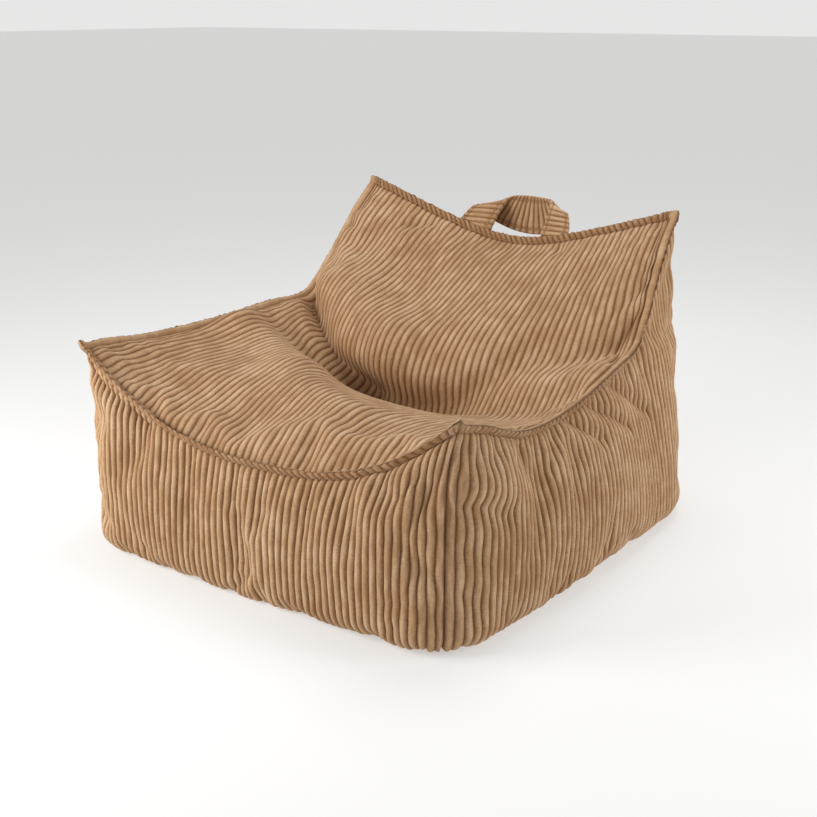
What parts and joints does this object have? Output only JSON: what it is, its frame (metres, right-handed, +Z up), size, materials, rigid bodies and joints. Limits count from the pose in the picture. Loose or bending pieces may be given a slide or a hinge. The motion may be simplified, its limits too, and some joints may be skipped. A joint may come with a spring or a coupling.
{
  "type": "bean bag chair",
  "caption": "Low corduroy bean bag chair with a scooped seat, a raised backrest with pointed corners, a top carry handle and a zip across the back.",
  "frame": {"origin": "centre of the bounding box on the floor, under the middle of the chair", "axes": "+Z up, -Y is the open front of the seat, +X is to the right when the chair is seen from its front"},
  "size_m": [0.7006, 0.7999, 0.4997],
  "materials": {
    "corduroy": "wide-wale cotton corduroy, soft cut pile, camel",
    "base_cloth": "plain tightly woven base cloth, dark brown",
    "liner_cloth": "thin non-woven lining, off-white",
    "foam_beads": "loose expanded polystyrene beads, white",
    "thread": "spun polyester thread, brown",
    "label_tape": "blank woven satin tape, off-white",
    "zip_tape": "woven zip tape, tan",
    "zip_coil": "nylon coil, brown",
    "zip_metal": "cast zip metal, antique nickel"
  },
  "bodies": {
    "cover": {"seat_back_panel": "corduroy", "front_panel": "corduroy", "side_panel_left": "corduroy", "side_panel_right": "corduroy", "back_panel": "corduroy", "back_lower_strip": "corduroy", "base_panel": "base_cloth", "zip_tape_upper": "zip_tape", "zip_tape_lower": "zip_tape", "zip_coil_upper": "zip_coil", "zip_coil_lower": "zip_coil", "zip_stop_open": "zip_metal", "zip_stop_closed": "zip_metal", "topstitch_front": "thread", "topstitch_top": "thread", "topstitch_left": "thread", "topstitch_right": "thread", "care_label": "label_tape", "liner_tray": "liner_cloth", "liner_top": "liner_cloth", "bead_fill": "foam_beads"},
    "handle": {"carry_handle": "corduroy", "handle_bartacks": "thread", "handle_topstitch": "thread"},
    "slider": {"zip_slider": "zip_metal"},
    "pull": {"zip_pull": "zip_metal"}
  },
  "joints": [
    {"name": "handle_swing", "type": "hinge", "parent": "cover", "child": "handle", "pos_m": [0, 0.31, 0.435], "axis": [1, 0, 0], "range_deg": [-40, 95]},
    {"name": "zip_slide", "type": "slide", "parent": "cover", "child": "slider", "axis": [-1, 0, 0], "range_m": [0, 0.388]},
    {"name": "pull_swing", "type": "hinge", "parent": "slider", "child": "pull", "pos_m": [0.1945, 0.38426, 0.06062], "axis": [0, -0.3028, -0.9531], "range_deg": [0, 170]}
  ]
}
